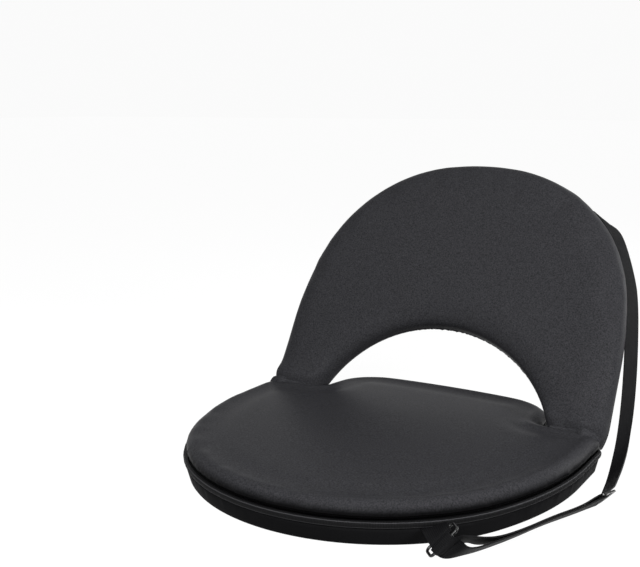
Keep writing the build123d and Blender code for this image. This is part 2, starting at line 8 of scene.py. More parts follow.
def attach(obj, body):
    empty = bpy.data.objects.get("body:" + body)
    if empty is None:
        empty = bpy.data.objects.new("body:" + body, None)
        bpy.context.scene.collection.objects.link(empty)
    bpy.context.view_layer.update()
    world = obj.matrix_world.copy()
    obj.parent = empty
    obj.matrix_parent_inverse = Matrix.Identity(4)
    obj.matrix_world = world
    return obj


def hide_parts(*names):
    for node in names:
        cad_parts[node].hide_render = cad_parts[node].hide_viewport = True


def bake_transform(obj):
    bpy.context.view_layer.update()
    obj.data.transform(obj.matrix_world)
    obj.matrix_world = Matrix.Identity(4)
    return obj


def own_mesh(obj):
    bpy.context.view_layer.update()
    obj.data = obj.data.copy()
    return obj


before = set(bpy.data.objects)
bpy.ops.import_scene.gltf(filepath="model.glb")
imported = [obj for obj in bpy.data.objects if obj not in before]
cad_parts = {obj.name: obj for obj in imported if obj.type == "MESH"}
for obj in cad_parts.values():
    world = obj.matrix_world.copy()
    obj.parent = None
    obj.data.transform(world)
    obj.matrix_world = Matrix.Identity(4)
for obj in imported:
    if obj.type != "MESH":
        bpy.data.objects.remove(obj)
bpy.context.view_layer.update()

# Camera: the photograph looks down a little on the seat's front right corner, from about 1.4 m.
# Its place and turn come from matching the seat's outlines; the picture is 640 by 567.
scene = bpy.context.scene
camera_right = Vector((0.848751, 0.528793, 0.0))
camera_up = Vector((-0.094231, 0.151248, 0.983994))
camera_back = Vector((0.520329, -0.835166, 0.178201))
camera_place = Vector((0.568015, -1.171735, 0.448767))
camera_turn = Matrix((camera_right, camera_up, camera_back)).transposed()
bpy.ops.object.camera_add()
camera = bpy.context.object
camera.matrix_world = Matrix.Translation(camera_place) @ camera_turn.to_4x4()
camera.data.lens = 55.18
camera.data.sensor_width = 36.0
camera.data.sensor_fit = "HORIZONTAL"
scene.camera = camera
scene.view_settings.view_transform = "Standard"


# Studio: a white sweep that the camera sees as paper white. A strong lamp in front and a weak one overhead
# light the cushions, small ones at the left and right mark their sides, and one at the rear right lights
# the rear cover.
def linear(code):
    """Linear colour of an sRGB hex value."""
    parts = [int(code[place : place + 2], 16) / 255 for place in (0, 2, 4)]
    return [c / 12.92 if c <= 0.04045 else ((c + 0.055) / 1.055) ** 2.4 for c in parts] + [1.0]


def add_node(material, kind, settings=(), inputs=(), links=()):
    """Adds a node, sets its properties and inputs, and links (output, input) pairs into it."""
    node = material.node_tree.nodes.new(kind)
    for name, value in dict(settings).items():
        setattr(node, name, value)
    for name, value in dict(inputs).items():
        node.inputs[name].default_value = value
    for output, name in links:
        material.node_tree.links.new(output, node.inputs[name])
    return node


def new_material(name):
    """Empty node material and its surface output."""
    material = bpy.data.materials.new(name)
    material.use_nodes = True
    material.node_tree.nodes.clear()
    return material, add_node(material, "ShaderNodeOutputMaterial")


def seen_rays(holder):
    """Output that is 1 for the rays by which the camera sees a thing straight, mirrored or through glass."""
    ray = add_node(holder, "ShaderNodeLightPath")
    seen = add_node(
        holder,
        "ShaderNodeMath",
        {"operation": "MAXIMUM"},
        links=[(ray.outputs["Is Camera Ray"], 0), (ray.outputs["Is Glossy Ray"], 1)],
    )
    seen_or_through = add_node(
        holder,
        "ShaderNodeMath",
        {"operation": "MAXIMUM"},
        links=[(seen.outputs[0], 0), (ray.outputs["Is Transmission Ray"], 1)],
    )
    return seen_or_through.outputs[0]


paper, paper_out = new_material("white_paper_sweep")
paper_lift = add_node(paper, "ShaderNodeMath", {"operation": "MULTIPLY"}, links=[(seen_rays(paper), 0)])
paper_lift.inputs[1].default_value = 0.95
paper_glow = add_node(paper, "ShaderNodeEmission", links=[(paper_lift.outputs[0], "Strength")])
paper_shade = add_node(paper, "ShaderNodeBsdfDiffuse", inputs={"Color": linear("626262")})
paper_sum = add_node(
    paper, "ShaderNodeAddShader", links=[(paper_shade.outputs[0], 0), (paper_glow.outputs[0], 1)]
)
paper.node_tree.links.new(paper_sum.outputs[0], paper_out.inputs["Surface"])

bpy.ops.object.select_all(action="DESELECT")
bpy.ops.mesh.primitive_plane_add(size=60.0, location=(0, 0, -0.0006))
sweep = bpy.context.object
sweep.name = "paper_sweep"
sweep.data.materials.append(paper)

world = bpy.data.worlds.new("studio_white")
world.use_nodes = True
scene.world = world
backdrop = world.node_tree.nodes["Background"]
world_level = add_node(world, "ShaderNodeMath", {"operation": "MULTIPLY_ADD"}, links=[(seen_rays(world), 0)])
world_level.inputs[1].default_value = 0.80
world_level.inputs[2].default_value = 0.16
backdrop.inputs["Color"].default_value = (1, 1, 1, 1)
world.node_tree.links.new(world_level.outputs[0], backdrop.inputs["Strength"])


def add_lamp(name, place, aim, size, power):
    """Square soft lamp at a place, turned towards a point."""
    bpy.ops.object.light_add(type="AREA", location=place)
    lamp = bpy.context.object
    lamp.name = name
    lamp.data.size = size
    lamp.data.energy = power
    lamp.rotation_euler = (Vector(aim) - Vector(place)).to_track_quat("-Z", "Y").to_euler()


add_lamp("overhead_lamp", (0.15, -0.55, 1.85), (0, -0.1, 0.1), 0.7, 3)
add_lamp("front_lamp", (0.50, -1.80, 1.10), (0.05, 0.05, 0.2), 0.7, 37)
add_lamp("left_lamp", (-0.75, -1.0, 1.55), (0, 0.1, 0.25), 0.5, 2)
add_lamp("right_lamp", (1.5, -0.3, 0.6), (0.15, 0.05, 0.2), 0.4, 14)
add_lamp("rear_lamp", (1.2, 1.5, 0.45), (0, 0.15, 0.2), 1.0, 16)

# Seat top: upper cover of the seat cushion, coated polyester over a foam block,
# closed at the side seam. The foam's pressure rounds its rim and the seam gathers small puckers.
MM = 0.001
outline_step = 4.0


def arc_points(centre, radius, start, end):
    """Points along an arc, angles in degrees."""
    count = max(2, round(abs(math.radians(end - start)) * radius / outline_step))
    turns = [math.radians(start + (end - start) * step / count) for step in range(count + 1)]
    return [(centre[0] + radius * math.cos(t), centre[1] + radius * math.sin(t)) for t in turns]


def corner_points(before, corner, after, radius):
    """Rounded corner between two straight edges."""
    corner = Vector(corner)
    to_before = (Vector(before) - corner).normalized()
    to_after = (Vector(after) - corner).normalized()
    half = to_before.angle(to_after) / 2
    centre = corner + (to_before + to_after).normalized() * (radius / math.sin(half))
    first = corner + to_before * (radius / math.tan(half)) - centre
    last = corner + to_after * (radius / math.tan(half)) - centre
    start = math.degrees(math.atan2(first.y, first.x))
    sweep_angle = math.degrees(last.angle_signed(first))
    return arc_points(centre, radius, start, start + sweep_angle)


def even_outline(points):
    """The same closed outline with its points evenly spaced."""
    ring = [Vector(p) for p in points]
    ring.append(ring[0].copy())
    lengths = [(b - a).length for a, b in zip(ring, ring[1:])]
    total = sum(lengths)
    count = round(total / outline_step)
    even, leg, gone = [], 0, 0.0
    for number in range(count):
        target = total * number / count
        while gone + lengths[leg] < target:
            gone += lengths[leg]
            leg += 1
        even.append(ring[leg].lerp(ring[leg + 1], (target - gone) / lengths[leg]))
    return even


seat_half = 251.5
side_radius = 380.0
side_end = -70.0
nose_radius = 238.3
nose_centre = (0.0, -129.7)
side_centre = (seat_half - side_radius, side_end)
turn = math.degrees(math.atan2(nose_centre[1] - side_centre[1], -side_centre[0]))
shoulder = 4.0
tongue_root, tongue_end, tongue_tail = (167.0, shoulder), (155.0, 101.0), 113.0
rear_right = (
    corner_points((seat_half, -70), (seat_half, shoulder), tongue_root, 14)
    + corner_points((seat_half, shoulder), tongue_root, tongue_end, 8)
    + corner_points(tongue_root, tongue_end, (0, tongue_tail), 62)
)
seat_outline = (
    arc_points(nose_centre, nose_radius, 180 - turn, 360 + turn)
    + arc_points(side_centre, side_radius, turn, 0)[1:]
    + rear_right
    + [(-x, y) for x, y in reversed(rear_right)]
    + arc_points((-side_centre[0], side_end), side_radius, 180, 180 - turn)[:-1]
)
seat_outline = even_outline(seat_outline)


def outline_normals(outline):
    """Outward directions along an outline drawn counter-clockwise."""
    around = zip(outline[-1:] + outline[:-1], outline[1:] + outline[:1])
    return [Vector((after.y - before.y, before.x - after.x)).normalized() for before, after in around]


def ripple(along, seed):
    """Uneven gather of a sewn edge, between -1 and 1, at a length in metres along it."""
    waves = ((0.0117, 0.0), (0.0173, 1.7), (0.0291, 4.1), (0.0473, 2.3))
    return sum(math.sin(2 * math.pi * along / size + shift * seed) for size, shift in waves) / 2.6


def ring_rows(outline, stations, pucker=0.0):
    """Rows round an outline through stations, each outward and height in mm and a share of the pucker."""
    normals = outline_normals(outline)
    rows = []
    for outward, height, share in stations:
        row = []
        for number, (spot, normal) in enumerate(zip(outline, normals)):
            shift = outward + pucker * share * ripple(number * outline_step * MM, 2.0)
            row.append(Vector((spot.x + normal.x * shift, spot.y + normal.y * shift, height)) * MM)
        rows.append(row + row[:1])
    return rows


def cloth_band(name, rows):
    """Strip of cloth through rows of points, with a UV map in metres along and across it."""
    bpy.ops.object.select_all(action="DESELECT")
    bpy.ops.mesh.primitive_grid_add(x_subdivisions=len(rows[0]) - 1, y_subdivisions=len(rows) - 1)
    band = bpy.context.object
    band.name = name
    places = [place for row in rows for place in row]
    for vertex, place in zip(band.data.vertices, places):
        vertex.co = place
    along, across = [0.0], [0.0]
    for before, after in zip(rows[0], rows[0][1:]):
        along.append(along[-1] + (after - before).length)
    for before, after in zip(rows, rows[1:]):
        across.append(across[-1] + (after[0] - before[0]).length)
    flat = band.data.uv_layers.active.data
    for loop in band.data.loops:
        step = loop.vertex_index
        flat[loop.index].uv = (along[step % len(along)], across[step // len(along)])
    return band


def close_ends(band, filled):
    """Merges a band's two ends, fills its open rims if asked, and turns its faces outwards."""
    bpy.context.view_layer.objects.active = band
    bpy.ops.object.mode_set(mode="EDIT")
    bpy.ops.mesh.select_all(action="SELECT")
    bpy.ops.mesh.remove_doubles(threshold=0.0001)
    if filled:
        bpy.ops.mesh.fill_holes(sides=0)
    bpy.ops.mesh.select_all(action="SELECT")
    bpy.ops.mesh.normals_make_consistent(inside=False)
    bpy.ops.object.mode_set(mode="OBJECT")


def quarter(rounding, start, way, steps=7):
    """Stations of an edge that rounds inwards from a start height, upwards for a way of 1."""
    turns = [math.radians(90 * step / steps) for step in range(steps + 1)]
    return [(rounding * (math.cos(t) - 1), start + way * rounding * math.sin(t), 0.0) for t in turns]


def pad_from(name, outline, stations, grow=0.0):
    """Closed pad round an outline through its stations, made a little larger if asked."""
    rows = ring_rows(outline, [(outward + grow, height, share) for outward, height, share in stations])
    pad = cloth_band(name, rows)
    close_ends(pad, True)
    return pad


seat_tuck = [(-6.5, 26.8, 0.0), (-4.6, 28.6, 0.0), (-2.2, 31.2, 0.0), (-0.7, 33.4, 0.0)]
seat_pad = pad_from("seat_top", seat_outline, seat_tuck + quarter(9.0, 34.0, 1), grow=1.0)


def inflate(pad, voxel, pressure, held, cap):
    """Remeshes a pad, lets cloth pressure round it, and keeps each point within a cap of where it started."""
    bpy.context.view_layer.objects.active = pad
    pad.data.remesh_voxel_size = voxel * MM
    bpy.ops.object.voxel_remesh()
    rest = [vertex.co.copy() for vertex in pad.data.vertices]
    pins = pad.vertex_groups.new(name="held")
    pins.add([number for number, place in enumerate(rest) if held(place)], 1.0, "REPLACE")
    bpy.ops.object.modifier_add(type="CLOTH")
    cloth = pad.modifiers["Cloth"]
    cloth.settings.vertex_group_mass = "held"
    cloth.settings.use_pressure = True
    cloth.settings.uniform_pressure_force = pressure
    cloth.settings.effector_weights.gravity = 0.0
    cloth.settings.tension_stiffness = 40.0
    cloth.settings.compression_stiffness = 40.0
    cloth.settings.bending_stiffness = 10.0
    cloth.point_cache.frame_end = 20
    for number in range(1, 21):
        scene.frame_set(number)
    bpy.ops.object.modifier_apply(modifier="Cloth")
    scene.frame_set(1)
    for vertex, place in zip(pad.data.vertices, rest):
        step = vertex.co - place
        if step.length > cap * MM:
            vertex.co = place + step.normalized() * cap * MM
    pad.vertex_groups.clear()
    bpy.ops.object.modifier_add(type="SMOOTH")
    pad.modifiers["Smooth"].iterations = 10
    bpy.ops.object.modifier_apply(modifier="Smooth")
    bpy.ops.object.modifier_add(type="SUBSURF")
    pad.modifiers["Subdivision"].levels = 1
    pad.modifiers["Subdivision"].render_levels = 1
    bpy.ops.object.modifier_apply(modifier="Subdivision")
    bpy.ops.object.shade_smooth()


seat_crown, seat_middle = 8.0, -130.0
welt_rise, welt_inside, welt_width = 2.2, 13.0, 8.0
dip_fall, dip_inside, dip_width = 1.3, 38.0, 14.0
fade_from, fade_over = 31.0, 9.0
seam_height, seam_reach, seam_pucker = 33.0, 5.0, 0.4
seat_cap = (seat_half**2 + seat_crown**2) / (2 * seat_crown)
inflate(seat_pad, 5.0, 3.0, lambda place: place.z < 0.0295, 2.5)
seat_edge = KDTree(len(seat_outline))
for number, spot in enumerate(seat_outline):
    seat_edge.insert((spot.x, spot.y, 0.0), number)
seat_edge.balance()
for vertex in seat_pad.data.vertices:
    x, y, z = vertex.co / MM
    spot, number, inside = seat_edge.find((x, y, 0.0))
    reach = x * x + (y - seat_middle) ** 2
    crown = max(0.0, math.sqrt(max(0.0, seat_cap**2 - reach)) - seat_cap + seat_crown)
    welt = welt_rise * math.exp(-(((inside - welt_inside) / welt_width) ** 2))
    dip = dip_fall * math.exp(-(((inside - dip_inside) / dip_width) ** 2))
    vertex.co.z += (crown + welt - dip) * min(1.0, max(0.0, (z - fade_from) / fade_over)) * MM
    band = max(0.0, 1 - abs(z - seam_height) / seam_reach)
    if band > 0 and inside < 8:
        outward = Vector((x, y + 120, 0)).normalized()
        vertex.co += outward * (ripple(number * outline_step * MM, 1.0) * seam_pucker * band * MM)

# Coated polyester of the cushions: a plain weave with a thin coating on its back. It looks soft black with a
# fine grain; its threads are 0.5 mm apart and drawn at 1.7 mm to show.
# On the seat, the only piece numbered 1, shade is painted on the side: it darkens below the rim, and a
# painted shadow line lies along the seam.
cover_cloth, cover_out = new_material("coated_polyester")
place = add_node(cover_cloth, "ShaderNodeTexCoord")
grain = add_node(
    cover_cloth,
    "ShaderNodeTexNoise",
    inputs={"Scale": 1 / (1.7 * MM), "Detail": 3.0, "Roughness": 0.65},
    links=[(place.outputs["Object"], "Vector")],
)
wear = add_node(
    cover_cloth,
    "ShaderNodeTexNoise",
    inputs={"Scale": 1 / (90 * MM), "Detail": 3.0},
    links=[(place.outputs["Object"], "Vector")],
)
place_parts = add_node(cover_cloth, "ShaderNodeSeparateXYZ", links=[(place.outputs["Object"], "Vector")])
# Painted shadow: a dark line 1.1 mm high at a height of 32.4 mm, where the seam's groove lies in shade.
painted_seam_shadow = add_node(
    cover_cloth, "ShaderNodeMath", {"operation": "COMPARE"}, links=[(place_parts.outputs["Z"], 0)]
)
painted_seam_shadow.inputs[1].default_value = 32.4 * MM
painted_seam_shadow.inputs[2].default_value = 0.55 * MM
# Painted shade: the seat's side darkens from the rim at 43.5 mm down to 35.5 mm.
painted_wall_shade = add_node(cover_cloth, "ShaderNodeMapRange", links=[(place_parts.outputs["Z"], "Value")])
painted_wall_shade.inputs["From Min"].default_value = 35.5 * MM
painted_wall_shade.inputs["From Max"].default_value = 43.5 * MM
painted_wall_shade.inputs["To Min"].default_value = 0.88
painted_wall_shade.inputs["To Max"].default_value = 0.0
side_shade = add_node(
    cover_cloth,
    "ShaderNodeMath",
    {"operation": "MAXIMUM"},
    links=[(painted_seam_shadow.outputs[0], 0), (painted_wall_shade.outputs[0], 1)],
)
piece_number = add_node(cover_cloth, "ShaderNodeObjectInfo")
# Only the seat, numbered 1, gets the painted shade.
seat_painted_shade = add_node(
    cover_cloth,
    "ShaderNodeMath",
    {"operation": "MULTIPLY"},
    links=[(side_shade.outputs[0], 0), (piece_number.outputs["Object Index"], 1)],
)
tone = add_node(cover_cloth, "ShaderNodeValToRGB", links=[(grain.outputs["Fac"], "Fac")])
tone.color_ramp.elements[0].position = 0.32
tone.color_ramp.elements[0].color = linear("242426")
tone.color_ramp.elements[1].position = 0.70
tone.color_ramp.elements[1].color = linear("3e3e41")
gloss = add_node(cover_cloth, "ShaderNodeMapRange", links=[(wear.outputs["Fac"], "Value")])
gloss.inputs["To Min"].default_value = 0.30
gloss.inputs["To Max"].default_value = 0.38
relief = add_node(
    cover_cloth,
    "ShaderNodeBump",
    inputs={"Strength": 0.20, "Distance": 0.0004},
    links=[(grain.outputs["Fac"], "Height")],
)
# The painted shade and the painted seam shadow mix the cloth's tone towards near black.
tone_with_painted_shade = add_node(
    cover_cloth,
    "ShaderNodeMix",
    {"data_type": "RGBA"},
    links=[(seat_painted_shade.outputs[0], 0), (tone.outputs["Color"], 6)],
)
tone_with_painted_shade.inputs[7].default_value = linear("050505")
cloth_shade = add_node(
    cover_cloth,
    "ShaderNodeBsdfPrincipled",
    inputs={"Specular IOR Level": 0.01},
    links=[
        (tone_with_painted_shade.outputs[2], "Base Color"),
        (gloss.outputs[0], "Roughness"),
        (relief.outputs["Normal"], "Normal"),
    ],
)
cover_cloth.node_tree.links.new(cloth_shade.outputs[0], cover_out.inputs["Surface"])


def dress(piece, material, body=None, nodes=()):
    """Gives a piece its material, the body it rides on and the nodes it stands for."""
    piece.data.materials.clear()
    piece.data.materials.append(material)
    if nodes:
        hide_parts(*nodes)
    if body:
        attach(piece, body)


seat_pad.pass_index = 1
dress(seat_pad, cover_cloth, "seat", ["seat_top_cover", "seat_foam"])
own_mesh(seat_pad)

# Seat base: lower cover, smoother cloth, from the side seam down to the flat underside.
# Its wall draws in towards the floor and is gathered a little under the seam.
base_wall = [
    (-9.0, 0.0, 0.0),
    (-6.6, 0.5, 0.0),
    (-5.4, 2.2, 0.1),
    (-4.2, 7.0, 0.3),
    (-3.0, 12.0, 0.6),
    (-2.2, 15.5, 1.0),
    (-2.0, 17.5, 1.0),
    (-2.6, 19.4, 0.8),
    (-4.4, 21.0, 0.3),
    (-5.0, 25.0, 0.0),
]
seat_base = cloth_band("seat_base", ring_rows(seat_outline, base_wall, 0.55))
close_ends(seat_base, True)
bpy.ops.object.shade_smooth_by_angle(angle=math.radians(50))

base_cloth, base_out = new_material("smooth_coated_base_cloth")
base_place = add_node(base_cloth, "ShaderNodeTexCoord")
base_grain = add_node(
    base_cloth,
    "ShaderNodeTexNoise",
    inputs={"Scale": 1 / (1.1 * MM), "Detail": 2.0},
    links=[(base_place.outputs["Object"], "Vector")],
)
base_tone = add_node(base_cloth, "ShaderNodeValToRGB", links=[(base_grain.outputs["Fac"], "Fac")])
base_tone.color_ramp.elements[0].color = linear("0e0e0f")
base_tone.color_ramp.elements[1].color = linear("19191a")
base_relief = add_node(
    base_cloth,
    "ShaderNodeBump",
    inputs={"Strength": 0.18, "Distance": 0.0003},
    links=[(base_grain.outputs["Fac"], "Height")],
)
base_shade = add_node(
    base_cloth,
    "ShaderNodeBsdfPrincipled",
    inputs={"Roughness": 0.55, "Specular IOR Level": 0.01},
    links=[(base_tone.outputs["Color"], "Base Color"), (base_relief.outputs["Normal"], "Normal")],
)
base_cloth.node_tree.links.new(base_shade.outputs[0], base_out.inputs["Surface"])
dress(seat_base, base_cloth, "seat", ["seat_bottom_cover"])

# Binding tape: ribbed woven tape folded over the side seam all round the seat and stitched down.
# It stands a little proud between two dark grooves. Its ribs run across it, and a painted highlight lies
# as a paler line along each edge.
tape_wall = [
    (-3.4, 20.6, 0.0),
    (-0.6, 20.8, 0.2),
    (0.5, 21.8, 0.3),
    (1.2, 23.6, 0.3),
    (1.4, 25.4, 0.3),
    (0.9, 27.2, 0.3),
    (0.0, 28.0, 0.2),
    (-3.0, 28.2, 0.0),
]
binding = cloth_band("binding_tape", ring_rows(seat_outline, tape_wall, 0.4))
close_ends(binding, False)
bpy.ops.object.shade_smooth()

tape, tape_out = new_material("woven_binding_tape")
tape_uv = add_node(tape, "ShaderNodeUVMap")
tape_ribs = add_node(
    tape,
    "ShaderNodeTexWave",
    {"bands_direction": "X"},
    {"Scale": 0.314 / (1.6 * MM), "Distortion": 0.4, "Detail": 1.0},
    [(tape_uv.outputs["UV"], "Vector")],
)
tape_parts = add_node(tape, "ShaderNodeSeparateXYZ", links=[(tape_uv.outputs["UV"], "Vector")])
tape_edges = add_node(tape, "ShaderNodeMath", {"operation": "SUBTRACT"}, links=[(tape_parts.outputs["Y"], 0)])
tape_edges.inputs[1].default_value = 7.4 * MM
tape_lines = add_node(tape, "ShaderNodeMath", {"operation": "ABSOLUTE"}, links=[(tape_edges.outputs[0], 0)])
# Painted highlight: a paler line along each edge of the tape, where its edges catch the light.
tape_painted_highlight = add_node(tape, "ShaderNodeMath", {"operation": "COMPARE"}, links=[(tape_lines.outputs[0], 0)])
tape_painted_highlight.inputs[1].default_value = 3.0 * MM
tape_painted_highlight.inputs[2].default_value = 0.5 * MM
tape_ribbed = add_node(tape, "ShaderNodeValToRGB", links=[(tape_ribs.outputs["Fac"], "Fac")])
tape_ribbed.color_ramp.elements[0].color = linear("0b0b0c")
tape_ribbed.color_ramp.elements[1].color = linear("1a1a1b")
# The painted highlight lines take a paler grey.
tape_tone = add_node(
    tape,
    "ShaderNodeMix",
    {"data_type": "RGBA"},
    links=[(tape_painted_highlight.outputs[0], 0), (tape_ribbed.outputs["Color"], 6)],
)
tape_tone.inputs[7].default_value = linear("39393b")
tape_relief = add_node(
    tape,
    "ShaderNodeBump",
    inputs={"Strength": 0.6, "Distance": 0.0005},
    links=[(tape_ribs.outputs["Fac"], "Height")],
)
tape_shade = add_node(
    tape,
    "ShaderNodeBsdfPrincipled",
    inputs={"Roughness": 0.6, "Specular IOR Level": 0.05},
    links=[(tape_tone.outputs[2], "Base Color"), (tape_relief.outputs["Normal"], "Normal")],
)
tape.node_tree.links.new(tape_shade.outputs[0], tape_out.inputs["Surface"])
dress(binding, tape, "seat", ["edge_binding"])

# Back rest: one arched cushion with two legs, a front and a rear cover sewn together round the side.
# It leans 30 degrees on the hinges; its legs stand behind the seat's shoulders and swell over the hinges.
recline = math.radians(30)
hinge_place = Vector((0, 0.0083, 0.055))
back_half, back_height, back_side_end = 247.0, 363.0, 86.0
back_side_radius, back_corner_radius, back_top_radius = 500.0, 220.0, 380.0
leg_end, leg_cut, leg_corner = -44.0, -22.0, 20.0
arch_centre, arch_radius, arch_ease = (0.0, -81.0), 191.0, 4.2
dome_side = (back_half - back_side_radius, back_side_end)
dome_top = (0.0, back_height - back_top_radius)
dome_gap = math.dist(dome_side, dome_top)
side_reach, top_reach = back_side_radius - back_corner_radius, back_top_radius - back_corner_radius
dome_along = (side_reach**2 - top_reach**2 + dome_gap**2) / (2 * dome_gap)
dome_off = math.sqrt(side_reach**2 - dome_along**2)
dome_ahead = (Vector(dome_top) - Vector(dome_side)).normalized()
dome_corner = Vector(dome_side) + dome_ahead * dome_along + Vector((-dome_ahead.y, dome_ahead.x)) * dome_off
dome_low = math.degrees((dome_corner - Vector(dome_side)).angle_signed(Vector((1, 0))))
dome_high = math.degrees((dome_corner - Vector(dome_top)).angle_signed(Vector((1, 0))))
leg_inner = math.sqrt(arch_radius**2 - (leg_end - arch_centre[1]) ** 2)
arch_start = math.degrees(math.atan2(leg_end - arch_centre[1], leg_inner))
arch_rise = (leg_inner - 7.0, leg_end + 28.0)
right_edge = (
    corner_points((leg_inner, leg_end), (back_half, leg_end), (back_half, back_side_end), leg_corner)
    + arc_points(dome_side, back_side_radius, 0, dome_low)
    + arc_points(dome_corner, back_corner_radius, dome_low, dome_high)[1:]
    + arc_points(dome_top, back_top_radius, dome_high, 90)[1:]
)
arch_edge = arc_points(arch_centre, arch_radius, 90, arch_start + arch_ease) + corner_points(
    arch_rise, (leg_inner, leg_end), (back_half, leg_end), leg_corner
)
back_outline = right_edge + [(-x, y) for x, y in reversed(right_edge[:-1])]
back_outline += [(-x, y) for x, y in reversed(arch_edge[1:])] + arch_edge
back_outline = even_outline(back_outline)
back_edge = quarter(9.0, -33.0, -1)[::-1] + quarter(18.0, -18.0, 1)
back_pad = pad_from("back_rest", back_outline, back_edge, grow=2.5)
inflate(back_pad, 4.5, 4.0, lambda place: abs(place.z + 0.029) < 0.0025, 4.0)
back_seam, back_groove, groove_pucker, back_middle = -29.0, 1.3, 0.6, 60.0
leg_draw, leg_draw_top, leg_draw_height = 5.0, 6.0, 28.0
leg_draw_inner, leg_draw_width = 195.0, 50.0
hinge_swell, hinge_swell_height = 9.0, 15.0
back_place = Matrix.Translation(hinge_place) @ Matrix.Rotation(math.pi / 2 - recline, 4, "X")
for vertex in back_pad.data.vertices:
    x, height, forward = vertex.co / MM
    edge = max(0.0, 1 - abs(forward - back_seam) / seam_reach)
    if edge > 0:
        outward = Vector((x, height - back_middle, 0)).normalized()
        angle = math.atan2(height - back_middle, x)
        vertex.co -= outward * (edge**2 * (back_groove + groove_pucker * ripple(angle * 0.3, 3.0)) * MM)
    if height < leg_draw_top and abs(x) > leg_draw_inner:
        low = (leg_draw_top - height) / leg_draw_height
        draw_in = leg_draw * low**2 * min(1.0, (abs(x) - leg_draw_inner) / leg_draw_width)
        vertex.co.x -= math.copysign(draw_in, x) * MM
    ahead = min(1.0, max(0.0, (forward + 20) / 16))
    if abs(x) > 160:
        vertex.co.z += hinge_swell * math.exp(-((height / hinge_swell_height) ** 2)) * ahead * MM
    vertex.co.y = max(vertex.co.y, leg_cut * MM)
back_pad.data.transform(back_place)
back_nodes = ["back_front_cover", "back_rear_cover", "back_front_foam", "back_rear_foam"]
dress(back_pad, cover_cloth, "back_rest", back_nodes)

# Hinge folds: gathered cover cloth over each hinge, sewn to the seat's shoulder and to the front of the leg.
# They close the crease.
fold_profile = [(-12.0, 43.0), (-7.6, 42.4), (-5.4, 43.4), (-4.8, 46.0), (-4.4, 50.0)]
fold_rise = [(-2.5, 0.2), (-4.2, 1.6), (-3.8, 4.2), (-2.6, 5.2), (-1.6, 5.0)]
fold_points, fold_inner, fold_width = 33, 184.0, 64.0
arm_place, arm_cover = 227.5, 10.0


def thicken(band, wall, offset):
    """Gives a band of cloth its wall in mm; an offset of 0 keeps the band in the middle of it."""
    bpy.ops.object.modifier_add(type="SOLIDIFY")
    band.modifiers["Solidify"].thickness = wall * MM
    band.modifiers["Solidify"].offset = offset
    bpy.ops.object.modifier_apply(modifier="Solidify")


for side, name in ((1, "right"), (-1, "left")):
    rows = []
    for step, ((depth, height), (out, up)) in enumerate(zip(fold_profile, fold_rise)):
        row = []
        for number in range(fold_points):
            share = number / (fold_points - 1)
            across = fold_inner + fold_width * share
            over_arm = math.exp(-(((across - arm_place) / arm_cover) ** 2))
            gather = 0.6 * ripple(share * 0.06, 4.0) * math.sin(math.pi * step / 4)
            drop = 150 * max(0.0, share - 0.86) ** 1.5
            depth_here = depth + out * over_arm - gather + drop / 3
            row.append(Vector((side * across, depth_here, height + up * over_arm + gather - drop)) * MM)
        rows.append(row)
    hinge_fold = cloth_band(name + "_hinge_fold", rows)
    thicken(hinge_fold, 1.0, -1.0)
    bpy.ops.object.shade_smooth()
    dress(hinge_fold, cover_cloth, nodes=[name + "_hinge_gusset"])
    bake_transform(hinge_fold)


# Carrying strap, upper length: 25 mm polypropylene webbing, sewn to the rear of the back rest under a patch.
# It hangs from there to the floor and runs forward into the slider. Route points are (place, width), in mm.
def spline_points(places):
    """Points along one smooth spline that the route's points steer."""
    curve = bpy.data.curves.new("route", "CURVE")
    curve.dimensions = "3D"
    line = curve.splines.new("NURBS")
    line.points.add(len(places) - 1)
    for point, place in zip(line.points, places):
        point.co = (*place, 1.0)
    line.use_endpoint_u = True
    line.order_u = 3
    line.resolution_u = 10
    holder = bpy.data.objects.new("route", curve)
    mesh = bpy.data.meshes.new_from_object(holder)
    points = [vertex.co.copy() for vertex in mesh.vertices]
    bpy.data.objects.remove(holder)
    return points


def route_line(route):
    """Middle line of a strap along a route."""
    return spline_points([Vector(place) * MM for place, _ in route])


def webbing_band(name, route, width, wall):
    """Woven strap along a route, as wide and thick as given in mm."""
    line = route_line(route)
    beside = spline_points([Vector(place) * MM + Vector(wide).normalized() * 0.01 for place, wide in route])
    shares = (-0.5, -0.46, -0.3, -0.1, 0.1, 0.3, 0.46, 0.5)
    rows = [
        [middle + (edge - middle).normalized() * (share * width * MM) for middle, edge in zip(line, beside)]
        for share in shares
    ]
    band = cloth_band(name, rows)
    thicken(band, wall, 0.0)
    bpy.ops.object.shade_smooth_by_angle(angle=math.radians(40))
    return band


webbing, webbing_out = new_material("polypropylene_webbing")
webbing_uv = add_node(webbing, "ShaderNodeUVMap")
webbing_picks = add_node(
    webbing,
    "ShaderNodeTexWave",
    {"bands_direction": "X"},
    {"Scale": 0.314 / (1.9 * MM), "Distortion": 0.6, "Detail": 1.0},
    [(webbing_uv.outputs["UV"], "Vector")],
)
webbing_ends = add_node(
    webbing,
    "ShaderNodeTexWave",
    {"bands_direction": "Y"},
    {"Scale": 0.314 / (2.1 * MM), "Distortion": 0.3, "Detail": 1.0},
    [(webbing_uv.outputs["UV"], "Vector")],
)
webbing_weave = add_node(
    webbing,
    "ShaderNodeMath",
    {"operation": "MULTIPLY"},
    links=[(webbing_picks.outputs["Fac"], 0), (webbing_ends.outputs["Fac"], 1)],
)
webbing_tone = add_node(webbing, "ShaderNodeValToRGB", links=[(webbing_weave.outputs[0], "Fac")])
webbing_tone.color_ramp.elements[0].color = linear("0d0d0e")
webbing_tone.color_ramp.elements[1].color = linear("18181a")
webbing_relief = add_node(
    webbing,
    "ShaderNodeBump",
    inputs={"Strength": 0.6, "Distance": 0.0005},
    links=[(webbing_weave.outputs[0], "Height")],
)
